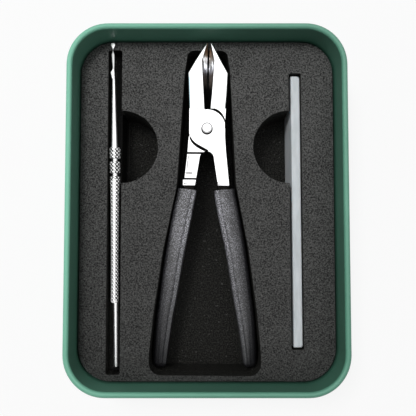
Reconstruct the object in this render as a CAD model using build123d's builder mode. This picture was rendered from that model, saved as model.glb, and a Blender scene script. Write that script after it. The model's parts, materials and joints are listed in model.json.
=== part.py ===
"""Manicure set case: an open tin tray with a layered foam nest that holds a toenail nipper,
a double-ended nail lifter and a glass nail file.

Millimetres. X runs across the tin, Y along it, Z up. The origin is the centre of the tin's underside.
"""

import os
from math import asin, atan2, cos, degrees, hypot, radians, sin, tan

from build123d import *

os.makedirs("parts", exist_ok=True)

# ---- Tin tray ------------------------------------------------------------------------------------
tin_width = 114.6
tin_height = 33.0
tin_corner_radius = 17.0
tin_sheet = 0.3
tin_base_bend = 2.0
bead_diameter = 2.4
bead_curl_angle = 300.0

# ---- Foam nest: three glued layers ----------------------------------------------------------------
seat_gap = 0.05
foam_side_gap = 0.7
foam_base_thickness = 3.0
foam_core_thickness = 11.6
foam_top_thickness = 6.4

# Well for the nipper: places along it from the rivet, and clearances outside the jaws and grips
well_yaw = -0.5
well_top_half = 8.3
well_top_overhang = 2.26
well_head_y = 24.1
well_head_gap = 1.2
well_neck_y = -24.9
well_neck_gap = 0.6
well_hip_y = -51.9
well_hip_gap = 1.15
well_thigh_y = -78.4
well_thigh_gap = 1.25
well_foot_length = 8.9
well_foot_gap = 1.7
well_end_gap = 1.2
well_top_corner = 3.0
well_bottom_corner = 5.0
well_side_blend = 30.0
well_top_margin = 3.7
well_bottom_margin = 2.5

# Slots for the lifter and the glass file, and the finger notches beside them
lifter_slot_inset = 14.6
lifter_slot_width = 5.8
lifter_slot_overhang = 0.5
lifter_end_gap = 1.4
lifter_top_margin = 3.6
lifter_bottom_margin = 2.9
file_slot_inset = 16.15
file_slot_y = -0.3
file_slot_width = 5.1
file_end_gap = 0.6
file_yaw = 0.2
slot_corner = 0.8
notch_radius = 15.6
notch_y = 26.8

# ---- Glass nail file, standing on its long edge -----------------------------------------------------
file_length = 116.8
file_thickness = 3.9
file_width = 16.5
file_wall_gap = 0.15
file_corner = 1.0
file_edge = 0.25

# ---- Toenail nipper, in its own frame: pivot at the origin, jaws along +Y ---------------------------
nipper_x = 0.0
nipper_yaw = -0.6
nipper_tilt = 5.0

head_thickness = 9.0
lap_gap = 0.06
plate_radius = 7.95
plate_half_width = 7.6
groove_width = 0.5
tongue_x = 2.3
tongue_y = -9.6
tongue_radius = 0.6
rivet_pin_diameter = 3.6
rivet_head_diameter = 4.6
rivet_flare = 0.5
rivet_proud = 0.15
rivet_clearance = 0.05

jaw_axis_x = 0.2
jaw_root_y = 8.4
jaw_root_half = 7.8
jaw_waist_y = 14.4
jaw_waist_half = 8.1
jaw_shoulder_y = 23.4
jaw_shoulder_half = 8.5
jaw_belly_y = 28.8
jaw_tip_y = 36.2
jaw_tip_half = 1.25
jaw_tip_shift = 0.4
jaw_top_slope = 3.0
jaw_chamfer = 0.35
blade_gap = 0.6
blade_land = 0.5
blade_root_half = 1.2
bevel_root_half = 1.35
bevel_waist_half = 1.8
bevel_belly_half = 2.7
bevel_tip_half = 0.65

arm_top_half = 7.75
arm_waist_y = -9.0
arm_waist_half = 8.15
arm_end_y = -24.4
arm_end_half = 9.8
arm_end_width = 4.9
crotch_y = -12.9
crotch_half = 3.05
crotch_rise = 2.95
crotch_side_gap = 0.6
arm_step_y = -10.2
arm_step = 0.5
arm_step_run = 0.8
collar_groove_y = -21.6
collar_groove_width = 0.7
collar_groove_depth = 0.4
collar_proud = 0.35

tang_thickness = 4.5
tang_end_y = -90.0
tang_root_half = 2.0
tang_end_half = 1.3

grip_top_y = -25.5
grip_end_y = -104.0
grip_height = 12.3
grip_edge_round = 2.0
grip_end_round = 2.4
grip_bore_gap = 0.03
# Inner and outer half widths of the pair of grips at places down their length
grip_stations = [
    (grip_top_y, 4.15, 12.0),
    (-46.0, 7.7, 15.95),
    (-66.0, 11.4, 19.0),
    (-84.0, 14.5, 21.1),
    (grip_end_y, 17.0, 22.25),
]

# ---- Nail lifter, in its own frame: handle's upper end at the origin, tip along +Y ------------------
lifter_side_shift = -0.15
lifter_yaw = -0.1
handle_length = 66.8
handle_radius = 2.15
handle_neck_radius = 2.02
handle_body_at = 22.7
handle_body_radius = 1.73
handle_slim_at = 48.0
handle_slim_radius = 1.5
handle_foot_radius = 1.65
handle_chamfer = 0.25
ring_groove_radius = 1.25
ring_groove_width = 1.0
ring_groove_places = (5.3, 11.6)
spigot_depth = 8.0
spigot_gap = 0.02
spigot_end_gap = 0.2
tip_spigot_radius = 0.8
foot_spigot_radius = 0.6
shank_length = 33.0
shank_root_radius = 1.25
shank_neck_radius = 0.68
hook_angle = 5.0
hook_length = 9.6
hook_end_radius = 0.42
spoon_length = 2.9
spoon_half_width = 0.85
spoon_thickness = 0.55
foot_shaft_length = 28.0
foot_shaft_root_radius = 0.83
foot_shaft_end_radius = 0.55

# ---- Levels and sizes that follow from those above ---------------------------------------------------
nipper_rise = sin(radians(nipper_tilt))
nipper_run = cos(radians(nipper_tilt))
half_head = head_thickness / 2

# The nest is as long as the longer of its cuts and the foam left at their ends, and the tin as the nest
well_top_y = jaw_tip_y * nipper_run - well_top_overhang
well_bottom_y = grip_end_y * nipper_run - well_end_gap
well_foot_y = well_bottom_y + well_foot_length
lifter_foot_reach = handle_length + foot_shaft_length
lifter_rim_reach = shank_length + hook_length - lifter_slot_overhang
lifter_slot_length = lifter_foot_reach + lifter_rim_reach + lifter_end_gap
file_slot_length = file_length + 2 * file_end_gap
foam_length = max(
    well_top_y - well_bottom_y + well_top_margin + well_bottom_margin,
    lifter_slot_length + lifter_top_margin + lifter_bottom_margin,
)
tin_length = foam_length + 2 * (foam_side_gap + bead_diameter)

wall_inner_x = tin_width / 2 - bead_diameter
wall_inner_y = tin_length / 2 - bead_diameter
wall_inner_radius = tin_corner_radius - bead_diameter
bead_z = tin_height - bead_diameter / 2

# Places of the tools and of their slots
nipper_y = well_bottom_margin - well_bottom_y - foam_length / 2
file_slot_x = wall_inner_x - foam_side_gap - file_slot_inset
lifter_slot_x = lifter_slot_inset + foam_side_gap - wall_inner_x
lifter_slot_y = lifter_bottom_margin + lifter_slot_length / 2 - foam_length / 2
lifter_x = lifter_slot_x + lifter_side_shift
lifter_y = lifter_bottom_margin + lifter_end_gap + lifter_foot_reach - foam_length / 2

floor_gap = tin_base_bend - tin_sheet
base_bottom = tin_sheet + seat_gap
base_top = base_bottom + foam_base_thickness
core_bottom = base_top + seat_gap
core_top = core_bottom + foam_core_thickness
top_bottom = core_top + seat_gap
foam_surface = top_bottom + foam_top_thickness


def blend(value, low, high, low_result, high_result):
    """Straight-line value between two stations."""
    return low_result + (value - low) / (high - low) * (high_result - low_result)


def turned_plane(x, y, z, yaw, tilt=0.0):
    """Plane at a point whose X axis is yawed about Z and whose Y axis then rises by tilt."""
    across = Vector(cos(radians(yaw)), sin(radians(yaw)), 0)
    level = Vector(-sin(radians(yaw)), cos(radians(yaw)), 0)
    along = level * cos(radians(tilt)) + Vector(0, 0, sin(radians(tilt)))
    return Plane(origin=(x, y, z), x_dir=across, z_dir=across.cross(along))


# ======================================================================================================
# Tin tray: floor, wall and rolled bead of one sheet
# ======================================================================================================
def wall_section(plane, reach):
    """Sheet section of base bend, wall and curl, its wall's inner face at `reach` from the plane's origin."""
    wall_line_x = reach + tin_sheet / 2
    bend_x = reach + tin_sheet - tin_base_bend
    with BuildSketch(plane) as section:
        with BuildLine():
            Line((bend_x - tin_sheet, tin_sheet / 2), (bend_x, tin_sheet / 2))
            CenterArc((bend_x, tin_base_bend), tin_base_bend - tin_sheet / 2, -90, 90)
            Line((wall_line_x, tin_base_bend), (wall_line_x, bead_z))
            CenterArc(
                (reach + bead_diameter / 2, bead_z),
                (bead_diameter - tin_sheet) / 2, 180, -bead_curl_angle,
            )
        trace(line_width=tin_sheet)
    return section.sketch


straight_half_x = wall_inner_x - wall_inner_radius
straight_half_y = wall_inner_y - wall_inner_radius

with BuildPart() as tin_tray:
    with BuildSketch():
        RectangleRounded(
            2 * (wall_inner_x + tin_sheet - tin_base_bend),
            2 * (wall_inner_y + tin_sheet - tin_base_bend),
            wall_inner_radius + tin_sheet - tin_base_bend,
        )
    extrude(amount=tin_sheet)
    for turn, reach, straight_half in (
        (0, wall_inner_x, straight_half_y),
        (90, wall_inner_y, straight_half_x),
        (180, wall_inner_x, straight_half_y),
        (270, wall_inner_y, straight_half_x),
    ):
        outward = Vector(1, 0, 0).rotate(Axis.Z, turn)
        sideways = Vector(0, -1, 0).rotate(Axis.Z, turn)
        section = wall_section(Plane(origin=(0, 0, 0), x_dir=outward, z_dir=sideways), reach)
        extrude(section, amount=straight_half, both=True)
    for sign_x, sign_y, turn in ((1, 1, 0), (-1, 1, 90), (-1, -1, 180), (1, -1, 270)):
        corner = Vector(sign_x * straight_half_x, sign_y * straight_half_y, 0)
        outward = Vector(1, 0, 0).rotate(Axis.Z, turn)
        sideways = Vector(0, -1, 0).rotate(Axis.Z, turn)
        section = wall_section(
            Plane(origin=corner, x_dir=outward, z_dir=sideways), wall_inner_radius
        )
        revolve(section, axis=Axis(corner, (0, 0, 1)), revolution_arc=90)
tin_tray.part.label = "tin_tray"
export_step(tin_tray.part, "parts/tin_tray.step")


# ======================================================================================================
# Foam nest: a plain base, a core with the deep wells, and a top layer that also has the lifter's slot
# ======================================================================================================
def foam_sheet(bottom, thickness, side_gap):
    """Blank foam sheet that fills the tin's plan to a gap from its wall."""
    with BuildSketch(Plane.XY.offset(bottom)) as blank:
        RectangleRounded(
            2 * (wall_inner_x - side_gap),
            2 * (wall_inner_y - side_gap),
            wall_inner_radius - side_gap,
        )
    extrude(blank.sketch, amount=thickness)


def grip_outer(y):
    """Outer half width of the pair of grips at a place down their length."""
    for (high_y, high_inner, high), (low_y, low_inner, low) in zip(grip_stations, grip_stations[1:]):
        if y >= low_y:
            return blend(y, low_y, high_y, low, high)


def cut_nipper_well(bottom, thickness):
    """Tapering well for the nipper, wide at the grips and narrow at the jaws."""
    foot_half = grip_outer(well_foot_y) + well_foot_gap
    side = [
        (well_top_half, well_top_y),
        (jaw_shoulder_half + well_head_gap, well_head_y),
        (grip_outer(grip_top_y) + well_neck_gap, well_neck_y),
        (grip_outer(well_hip_y) + well_hip_gap, well_hip_y),
        (grip_outer(well_thigh_y) + well_thigh_gap, well_thigh_y),
        (foot_half, well_foot_y),
        (foot_half, well_bottom_y),
    ]
    mirrored_side = [(-half, y) for half, y in reversed(side)]
    with BuildSketch(turned_plane(nipper_x, nipper_y, bottom, well_yaw)) as well:
        with BuildLine():
            Polyline(*side, *mirrored_side, close=True)
        make_face()
        fillet(well.vertices().group_by(Axis.Y)[-1], well_top_corner)
        fillet(well.vertices().group_by(Axis.Y)[0], well_bottom_corner)
        for half, y in side[1:-1]:
            bends = [v for v in well.vertices() if abs(v.Y - y) < 0.01]
            fillet(bends, well_side_blend)
    extrude(well.sketch, amount=thickness, mode=Mode.SUBTRACT)


def cut_file_slot_and_notches(bottom, thickness):
    """Slot for the glass file, its finger notch, and the finger notch beside the lifter."""
    notch_left_x = lifter_slot_x + lifter_slot_width / 2
    notch_right_x = file_slot_x - file_slot_width / 2
    with BuildSketch(turned_plane(file_slot_x, file_slot_y, bottom, file_yaw)) as slot:
        RectangleRounded(file_slot_width, file_slot_length, slot_corner)
    extrude(slot.sketch, amount=thickness, mode=Mode.SUBTRACT)
    for x, keep_side in ((notch_left_x, 1), (notch_right_x, -1)):
        with BuildSketch(Plane.XY.offset(bottom)) as notch:
            with Locations((x, notch_y)):
                Circle(notch_radius)
            with Locations((x - keep_side * (notch_radius + slot_corner), notch_y)):
                Rectangle(2 * notch_radius, 3 * notch_radius, mode=Mode.SUBTRACT)
        extrude(notch.sketch, amount=thickness, mode=Mode.SUBTRACT)


with BuildPart() as foam_base_layer:
    foam_sheet(base_bottom, foam_base_thickness, max(foam_side_gap, floor_gap))
foam_base_layer.part.label = "foam_base_layer"
export_step(foam_base_layer.part, "parts/foam_base_layer.step")

with BuildPart() as foam_core_layer:
    foam_sheet(core_bottom, foam_core_thickness, foam_side_gap)
    cut_nipper_well(core_bottom, foam_core_thickness)
    cut_file_slot_and_notches(core_bottom, foam_core_thickness)
foam_core_layer.part.label = "foam_core_layer"
export_step(foam_core_layer.part, "parts/foam_core_layer.step")

with BuildPart() as foam_top_layer:
    foam_sheet(top_bottom, foam_top_thickness, foam_side_gap)
    cut_nipper_well(top_bottom, foam_top_thickness)
    cut_file_slot_and_notches(top_bottom, foam_top_thickness)
    with BuildSketch(Plane.XY.offset(top_bottom)):
        with Locations((lifter_slot_x, lifter_slot_y)):
            RectangleRounded(lifter_slot_width, lifter_slot_length, slot_corner)
    extrude(amount=foam_top_thickness, mode=Mode.SUBTRACT)
foam_top_layer.part.label = "foam_top_layer"
export_step(foam_top_layer.part, "parts/foam_top_layer.step")


# ======================================================================================================
# Glass nail file, on edge against the right wall of its slot
# ======================================================================================================
file_shift = file_slot_width / 2 - file_wall_gap - file_thickness / 2
file_bottom = base_top + seat_gap
file_plane = turned_plane(
    file_slot_x + file_shift * cos(radians(file_yaw)),
    file_slot_y + file_shift * sin(radians(file_yaw)),
    file_bottom, file_yaw,
)
with BuildPart() as glass_file:
    with BuildSketch(file_plane) as file_plan:
        Rectangle(file_thickness, file_length)
        fillet(file_plan.vertices().group_by(Axis.X)[-1], file_corner)
        fillet(file_plan.vertices().group_by(Axis.X)[0], file_edge)
    extrude(amount=file_width)
    chamfer(glass_file.edges().group_by(Axis.Z)[-1], file_edge)
    chamfer(glass_file.edges().group_by(Axis.Z)[0], file_edge)
glass_file.part.label = "glass_file"
export_step(glass_file.part, "parts/glass_file.step")


# ======================================================================================================
# Toenail nipper: two lap-jointed levers on a rivet, each with a moulded grip on its tang
# ======================================================================================================
# The grips' rounded lower ends stand on the foam base, the jaws' undersides on the well's upper end
grip_foot_y = grip_end_y + grip_edge_round
grip_foot_z = grip_edge_round - grip_height / 2
grip_foot_drop = grip_edge_round - grip_foot_y * nipper_rise - grip_foot_z * nipper_run
pivot_z = base_top + seat_gap + grip_foot_drop
rest_y = well_top_y / nipper_run
rest_height = (foam_surface + seat_gap - pivot_z - rest_y * nipper_rise) / nipper_run
jaw_under_slope = (rest_height + half_head) / (rest_y - jaw_root_y)

nipper_plane = turned_plane(nipper_x, nipper_y, pivot_z, nipper_yaw, nipper_tilt)
nipper_across = nipper_plane.x_dir
nipper_along = nipper_plane.y_dir
rivet_axis = Axis(nipper_plane.origin, nipper_plane.z_dir)
side_plane = Plane(origin=nipper_plane.origin, x_dir=nipper_along, z_dir=nipper_across)


def jaw_top(y):
    return half_head - (y - jaw_root_y) * tan(radians(jaw_top_slope))


def jaw_under(y):
    return -half_head + (y - jaw_root_y) * jaw_under_slope


def jaw_section(side, y, outer_half, bevel_half, blade_half, shift=0.0):
    """Cross section of one jaw, with its hollow-ground bevel down to the cutting edge."""
    top = jaw_top(y)
    under = jaw_under(y)
    corners = [
        (outer_half, under + jaw_chamfer),
        (outer_half, top - jaw_chamfer),
        (outer_half - jaw_chamfer, top),
        (bevel_half, top),
        (blade_half, under + blade_land),
        (blade_half, under),
        (outer_half - jaw_chamfer, under),
    ]
    plane = Plane(
        origin=nipper_plane.origin + nipper_along * y,
        x_dir=nipper_across, z_dir=nipper_along * -1,
    )
    with BuildSketch(plane) as section:
        with BuildLine():
            Polyline(*[(jaw_axis_x + shift + side * x, z) for x, z in corners], close=True)
        make_face()
    return section.sketch.face()


def jaw(side):
    """Jaw from its root to the tip, ruled through its sections."""
    blade_half = blade_gap / 2
    belly_outer = blend(jaw_belly_y, jaw_shoulder_y, jaw_tip_y, jaw_shoulder_half, jaw_tip_half)
    shoulder_bevel = blend(
        jaw_shoulder_y, jaw_waist_y, jaw_belly_y, bevel_waist_half, bevel_belly_half
    )
    sections = [
        jaw_section(side, jaw_root_y, jaw_root_half, bevel_root_half, blade_root_half),
        jaw_section(side, jaw_waist_y, jaw_waist_half, bevel_waist_half, blade_half),
        jaw_section(side, jaw_shoulder_y, jaw_shoulder_half, shoulder_bevel, blade_half),
        jaw_section(side, jaw_belly_y, belly_outer, bevel_belly_half, blade_half),
        jaw_section(side, jaw_tip_y, jaw_tip_half, bevel_tip_half, blade_half, jaw_tip_shift),
    ]
    loft(sections, ruled=True)


def lap_disc(side, grow=0.0):
    """Outline of the round lap plate with its tongue down to the crotch, grown by `grow`."""
    with BuildSketch() as disc:
        Circle(plate_radius + grow)
        with Locations((side * tongue_x, tongue_y)):
            Circle(tongue_radius + grow)
        make_hull()
        if grow == 0:
            Rectangle(2 * plate_half_width, 4 * plate_radius, mode=Mode.INTERSECT)
    return disc.sketch


def root_and_arm(side):
    """Plan of the jaw's root on one side and of the arm on the other."""
    root = [
        (jaw_axis_x - side * bevel_root_half, jaw_root_y),
        (jaw_axis_x - side * jaw_root_half, jaw_root_y),
        (-side * plate_half_width, 0),
        (-side * bevel_root_half, 0),
    ]
    outer = [
        (arm_top_half, 0),
        (arm_top_half, tongue_y / 3),
        (arm_waist_half, arm_waist_y),
        (arm_end_half, arm_end_y),
        (arm_end_half - arm_end_width, arm_end_y),
        (crotch_half, crotch_y),
    ]
    with BuildSketch() as plan:
        with BuildLine():
            Polyline(*root, close=True)
        make_face()
        with BuildLine():
            Polyline(*[(side * x, y) for x, y in outer])
            arch_bottom = Vector(side * crotch_half, crotch_y)
            arch_top = Vector(side * crotch_side_gap, crotch_y + crotch_rise)
            TangentArc(arch_bottom, arch_top, tangent=(0, 1))
            Polyline(
                (side * crotch_side_gap, crotch_y + crotch_rise),
                (side * crotch_side_gap, 0), (side * arm_top_half, 0),
            )
        make_face()
    return plan.sketch


def rivet_section(grow=0.0):
    """Half section of the rivet: a pin that flares to a head at each face."""
    pin = rivet_pin_diameter / 2 + grow
    head = rivet_head_diameter / 2 + grow
    top = half_head + rivet_proud
    flare = half_head - rivet_flare
    plane = Plane(origin=nipper_plane.origin, x_dir=nipper_across, z_dir=nipper_along * -1)
    with BuildSketch(plane) as section:
        with BuildLine():
            Polyline(
                (0, -top), (head, -top), (head, -half_head), (pin, -flare),
                (pin, flare), (head, half_head), (head, top), (0, top), close=True,
            )
        make_face()
    return section.sketch


def tang(side, grow=0.0, mode=Mode.ADD):
    """Flat tapering tang that carries the grip, run from the arm's end down the grip's middle line."""
    root_x = arm_end_half - arm_end_width / 2
    middle_line = [(arm_end_y, root_x)]
    for y, inner, outer in grip_stations[1:]:
        middle_line.append((max(y, tang_end_y), (inner + outer) / 2))
    inner_edge = []
    outer_edge = []
    for y, x in middle_line:
        half = blend(y, arm_end_y, tang_end_y, tang_root_half, tang_end_half) + grow
        inner_edge.append((side * (x - half), y))
        outer_edge.append((side * (x + half), y))
    with BuildSketch(nipper_plane) as plan:
        with BuildLine():
            Polyline(*inner_edge, *reversed(outer_edge), close=True)
        make_face()
    return extrude(plan.sketch, amount=tang_thickness / 2 + grow, both=True, mode=mode)


def lever(side, level):
    """Lever whose arm lies on `side` and whose lap plate lies on the `level` face."""
    plan = root_and_arm(side)
    own_disc = lap_disc(side)
    other_disc = lap_disc(-side, groove_width)
    with BuildSketch(nipper_plane) as full_thickness:
        add(plan)
        add(other_disc, mode=Mode.SUBTRACT)
    extrude(full_thickness.sketch, amount=half_head, both=True)
    with BuildSketch(nipper_plane.offset(level * lap_gap / 2)) as lap_half:
        add(plan)
        add(own_disc)
    extrude(lap_half.sketch, amount=level * (half_head - lap_gap / 2))
    jaw(-side)
    face = -level * half_head
    floor = -level * (half_head - arm_step)
    past_end_y = arm_end_y - arm_step_run
    with BuildSketch(side_plane) as step:
        with BuildLine():
            Polyline(
                (arm_step_y, face), (arm_step_y - arm_step_run, floor),
                (past_end_y, floor), (past_end_y, face), close=True,
            )
        make_face()
    extrude(step.sketch, amount=2 * arm_end_half, both=True, mode=Mode.SUBTRACT)
    tang(side)
    revolve(rivet_section(rivet_clearance), axis=rivet_axis, mode=Mode.SUBTRACT)


with BuildPart() as nipper_upper_lever:
    lever(1, 1)
nipper_upper_lever.part.label = "nipper_upper_lever"
export_step(nipper_upper_lever.part, "parts/nipper_upper_lever.step")

with BuildPart() as nipper_lower_lever:
    lever(-1, -1)
    arm_top = half_head - arm_step
    collar_top_y = collar_groove_y - collar_groove_width / 2
    with BuildSketch(nipper_plane.offset(-arm_top)):
        with BuildLine():
            Polyline(
                (-arm_end_half - collar_proud, collar_top_y),
                (-arm_end_half - collar_proud, arm_end_y),
                (-arm_end_half + collar_proud, arm_end_y),
                (-arm_end_half + collar_proud, collar_top_y), close=True,
            )
        make_face()
    extrude(amount=2 * arm_top)
    groove_height = arm_top - collar_groove_depth / 2
    with BuildSketch(side_plane):
        with Locations((collar_groove_y, groove_height)):
            Rectangle(collar_groove_width, collar_groove_depth)
    extrude(amount=2 * arm_end_half, both=True, mode=Mode.SUBTRACT)
nipper_lower_lever.part.label = "nipper_lower_lever"
export_step(nipper_lower_lever.part, "parts/nipper_lower_lever.step")

with BuildPart() as nipper_rivet:
    revolve(rivet_section(), axis=rivet_axis)
nipper_rivet.part.label = "nipper_rivet"
export_step(nipper_rivet.part, "parts/nipper_rivet.step")


with BuildPart() as nipper_right_grip:
    inner_edge = [(inner, y) for y, inner, outer in grip_stations]
    outer_edge = [(outer, y) for y, inner, outer in reversed(grip_stations)]
    with BuildSketch(nipper_plane) as grip_plan:
        with BuildLine():
            Spline(*inner_edge)
            Line(inner_edge[-1], outer_edge[0])
            Spline(*outer_edge)
            Line(outer_edge[-1], inner_edge[0])
        make_face()
        fillet(grip_plan.vertices().group_by(Axis.Y)[0], grip_end_round)
    extrude(amount=grip_height / 2, both=True)
    fillet(nipper_right_grip.faces().filter_by(rivet_axis).edges(), grip_edge_round)
    tang(1, grip_bore_gap, Mode.SUBTRACT)
nipper_right_grip.part.label = "nipper_right_grip"
export_step(nipper_right_grip.part, "parts/nipper_right_grip.step")

with BuildPart() as nipper_left_grip:
    mirror(nipper_right_grip.part, about=side_plane)
nipper_left_grip.part.label = "nipper_left_grip"
export_step(nipper_left_grip.part, "parts/nipper_left_grip.step")


# ======================================================================================================
# Nail lifter: waisted handle with a spoon on a cranked shank at one end and a plain shaft at the other
# ======================================================================================================
# It rests on the slot floor at its lower end and on the rim of the slot at its cranked upper end
foot_end = -lifter_foot_reach
rim_height = (lifter_rim_reach - shank_length) * tan(radians(hook_angle)) - shank_neck_radius
rest_rise = foam_surface - core_top
rest_span = lifter_rim_reach - foot_end
rest_chord = hypot(rest_span, rim_height + foot_shaft_end_radius)
rest_angle = atan2(rim_height + foot_shaft_end_radius, rest_span)
lifter_tilt = degrees(asin(rest_rise / rest_chord) - rest_angle)
foot_drop = -foot_end * sin(radians(lifter_tilt)) + foot_shaft_end_radius * cos(radians(lifter_tilt))
lifter_z = core_top + seat_gap + foot_drop
lifter_plane = turned_plane(lifter_x, lifter_y, lifter_z, lifter_yaw, lifter_tilt)
lifter_axis = Axis(lifter_plane.origin, lifter_plane.y_dir)


def turned_profile(points):
    """Half section of a turned piece from (radius, place along the lifter) points."""
    with BuildSketch(lifter_plane) as section:
        with BuildLine():
            Polyline(*points, close=True)
        make_face()
    return section.sketch


with BuildPart() as lifter_handle:
    with BuildSketch(lifter_plane):
        with BuildLine():
            Line((0, -handle_length), (0, 0))
            Polyline((0, 0), (handle_radius - handle_chamfer, 0), (handle_radius, -handle_chamfer))
            Spline(
                (handle_radius, -handle_chamfer),
                (handle_neck_radius, -ring_groove_places[-1]),
                (handle_body_radius, -handle_body_at),
                (handle_slim_radius, -handle_slim_at),
                (handle_foot_radius, -handle_length),
            )
            Line((handle_foot_radius, -handle_length), (0, -handle_length))
        make_face()
        for place in ring_groove_places:
            with Locations((ring_groove_radius + handle_radius, -place)):
                Rectangle(2 * handle_radius, ring_groove_width, mode=Mode.SUBTRACT)
    revolve(axis=lifter_axis)
    for end, depth_sign, radius in (
        (0, -1, tip_spigot_radius),
        (-handle_length, 1, foot_spigot_radius),
    ):
        bore_end = end + depth_sign * (spigot_depth + spigot_end_gap)
        bore_radius = radius + spigot_gap
        bore = [(0, end), (bore_radius, end), (bore_radius, bore_end), (0, bore_end)]
        revolve(turned_profile(bore), axis=lifter_axis, mode=Mode.SUBTRACT)
lifter_handle.part.label = "lifter_handle"
export_step(lifter_handle.part, "parts/lifter_handle.step")

hook_root = lifter_plane.from_local_coords((0, shank_length, 0))
hook_plane = turned_plane(hook_root.X, hook_root.Y, hook_root.Z, lifter_yaw, lifter_tilt + hook_angle)
with BuildPart() as lifter_tip:
    shank = [
        (0, -spigot_depth),
        (tip_spigot_radius, -spigot_depth),
        (tip_spigot_radius, 0),
        (shank_root_radius, 0),
        (shank_neck_radius, shank_length),
        (0, shank_length),
    ]
    revolve(turned_profile(shank), axis=lifter_axis)
    with Locations(hook_root):
        Sphere(shank_neck_radius)
    for along, radius in ((0, shank_neck_radius), (hook_length, hook_end_radius)):
        station = Plane(
            origin=hook_plane.from_local_coords((0, along, 0)),
            x_dir=hook_plane.x_dir, z_dir=hook_plane.y_dir,
        )
        with BuildSketch(station):
            Circle(radius)
    loft()
    with BuildSketch(hook_plane):
        with Locations((0, hook_length + spoon_length / 2 - hook_end_radius)):
            Ellipse(spoon_half_width, spoon_length / 2)
    extrude(amount=spoon_thickness / 2, both=True)
lifter_tip.part.label = "lifter_tip"
export_step(lifter_tip.part, "parts/lifter_tip.step")

with BuildPart() as lifter_foot_shaft:
    shaft = [
        (0, spigot_depth - handle_length),
        (foot_spigot_radius, spigot_depth - handle_length),
        (foot_spigot_radius, -handle_length),
        (foot_shaft_root_radius, -handle_length),
        (foot_shaft_end_radius, foot_end + foot_shaft_end_radius),
        (foot_shaft_end_radius / 2, foot_end),
        (0, foot_end),
    ]
    revolve(turned_profile(shaft), axis=lifter_axis)
lifter_foot_shaft.part.label = "lifter_foot_shaft"
export_step(lifter_foot_shaft.part, "parts/lifter_foot_shaft.step")
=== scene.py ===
"""Looks of the manicure set case: an open green tin with a foam nest, a toenail nipper, a nail
lifter and a glass nail file.

Metres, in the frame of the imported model: X across the tin, Y along it, Z up.
"""

import json
import math

import bmesh
import bpy
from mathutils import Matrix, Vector


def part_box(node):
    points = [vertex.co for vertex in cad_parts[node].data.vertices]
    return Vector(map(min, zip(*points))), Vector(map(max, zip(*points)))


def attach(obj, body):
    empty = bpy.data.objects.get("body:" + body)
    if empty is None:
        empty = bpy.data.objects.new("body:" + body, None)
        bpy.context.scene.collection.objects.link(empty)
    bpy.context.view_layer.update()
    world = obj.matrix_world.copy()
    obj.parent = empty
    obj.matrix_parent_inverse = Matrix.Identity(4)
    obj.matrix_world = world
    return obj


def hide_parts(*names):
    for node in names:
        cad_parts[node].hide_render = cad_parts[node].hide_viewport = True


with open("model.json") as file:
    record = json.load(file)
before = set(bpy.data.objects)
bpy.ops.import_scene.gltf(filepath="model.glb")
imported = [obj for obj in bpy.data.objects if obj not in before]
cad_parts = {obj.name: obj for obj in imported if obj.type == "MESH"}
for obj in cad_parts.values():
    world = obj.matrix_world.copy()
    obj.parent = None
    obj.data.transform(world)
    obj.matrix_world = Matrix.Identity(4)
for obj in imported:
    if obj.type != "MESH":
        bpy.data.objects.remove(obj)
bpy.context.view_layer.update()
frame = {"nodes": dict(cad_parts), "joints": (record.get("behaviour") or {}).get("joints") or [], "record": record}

MM = 0.001

# ---- Camera and light -------------------------------------------------------------------------------
CAMERA_PLACE = Vector((0.0, -13.3, 209.0)) * MM
CAMERA_TILT = 2.53
CAMERA_CLIP = 0.01
SENSOR_WIDTH = 36.0
LENS = 38.2
SHIFT_X = 0.0024
SHIFT_Y = 0.031

# Places and sizes of the lamps in metres. The softbox is only seen in shiny surfaces, and a fill of the
# same size and a small key lamp only light them.
SOFTBOX_PLACE = (-0.02, 0.32, 0.80)
SOFTBOX_SIZE = (1.80, 1.30)
SOFTBOX_LEVEL = 1.30
FILL_LEVEL = 0.30
KEY_PLACE = (-0.26, 0.28, 0.80)
KEY_SIZE = (0.22, 0.22)
KEY_LEVEL = 28.0
ZENITH_LEVEL = 0.30
HORIZON_LEVEL = 0.18
MIRRORED_SKY = 0.70
SEEN_SKY = 1.0
FLOOR_GLOW = 0.88
FLOOR_HALF = 4.0

# ---- Sizes and places -------------------------------------------------------------------------------
MERGE_DISTANCE = 0.002 * MM
FLAT_ANGLE = 0.4
BEVEL_ANGLE = 28.0
ALL_SMOOTH = 180.0
SHARP_TURNED = 60.0
SHARP_GRIP = 50.0
SHARP_RIVET = 30.0
FOAM_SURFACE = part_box("foam_top_layer")[1].z
TIN_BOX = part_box("tin_tray")

TIN_CORNER = 17.0 * MM
TIN_SHEET = 0.3 * MM
BEAD_WIDTH = 2.4 * MM
BEAD_DROP = 1.15 * MM
FOAM_HALF_WIDTH = 54.2 * MM
FOAM_HALF_LENGTH = 72.4 * MM
SKIN_DEPTH = 0.12 * MM
LIFTER_SLOT = (-40.3 * MM, -36.7 * MM)
NOTCH_LIP = 0.3 * MM
NOTCH_REACH = (12.0 * MM, 41.0 * MM)
STEEL_EDGE = 0.12 * MM
GLASS_EDGE = 0.22 * MM
FOAM_EDGE = 0.30 * MM
GLASS_END_ROUND = 1.1 * MM

# Nipper, in millimetres in its own frame: pivot at the origin, jaws along +Y, top face at HEAD_TOP
HEAD_TOP = 4.5
LAP_HALF_WIDTH = 7.45
LAP_FOOT = -10.8
JAW_ROOT = 8.4
JAW_TIP = 36.2
JAW_OVERLAP = 0.15
JAW_AXIS = 0.2
JAW_TOP_FALL = 0.0524
JAW_UNDER_RISE = 0.1809
JAW_CHAMFER = 0.35
BLADE_LAND = 0.5
BLADE_HALF = 0.42
GRIND_POINTS = 7
JAW_RINGS = 72
BLADE_ROOT_HALF = 1.2
BLADE_TAPER = 0.15
PLATE_RADIUS = 7.95
TONGUE_PLACE = (2.3, -9.6)
TONGUE_RADIUS = 0.6
GROOVE_WIDTH = 0.5
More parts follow.
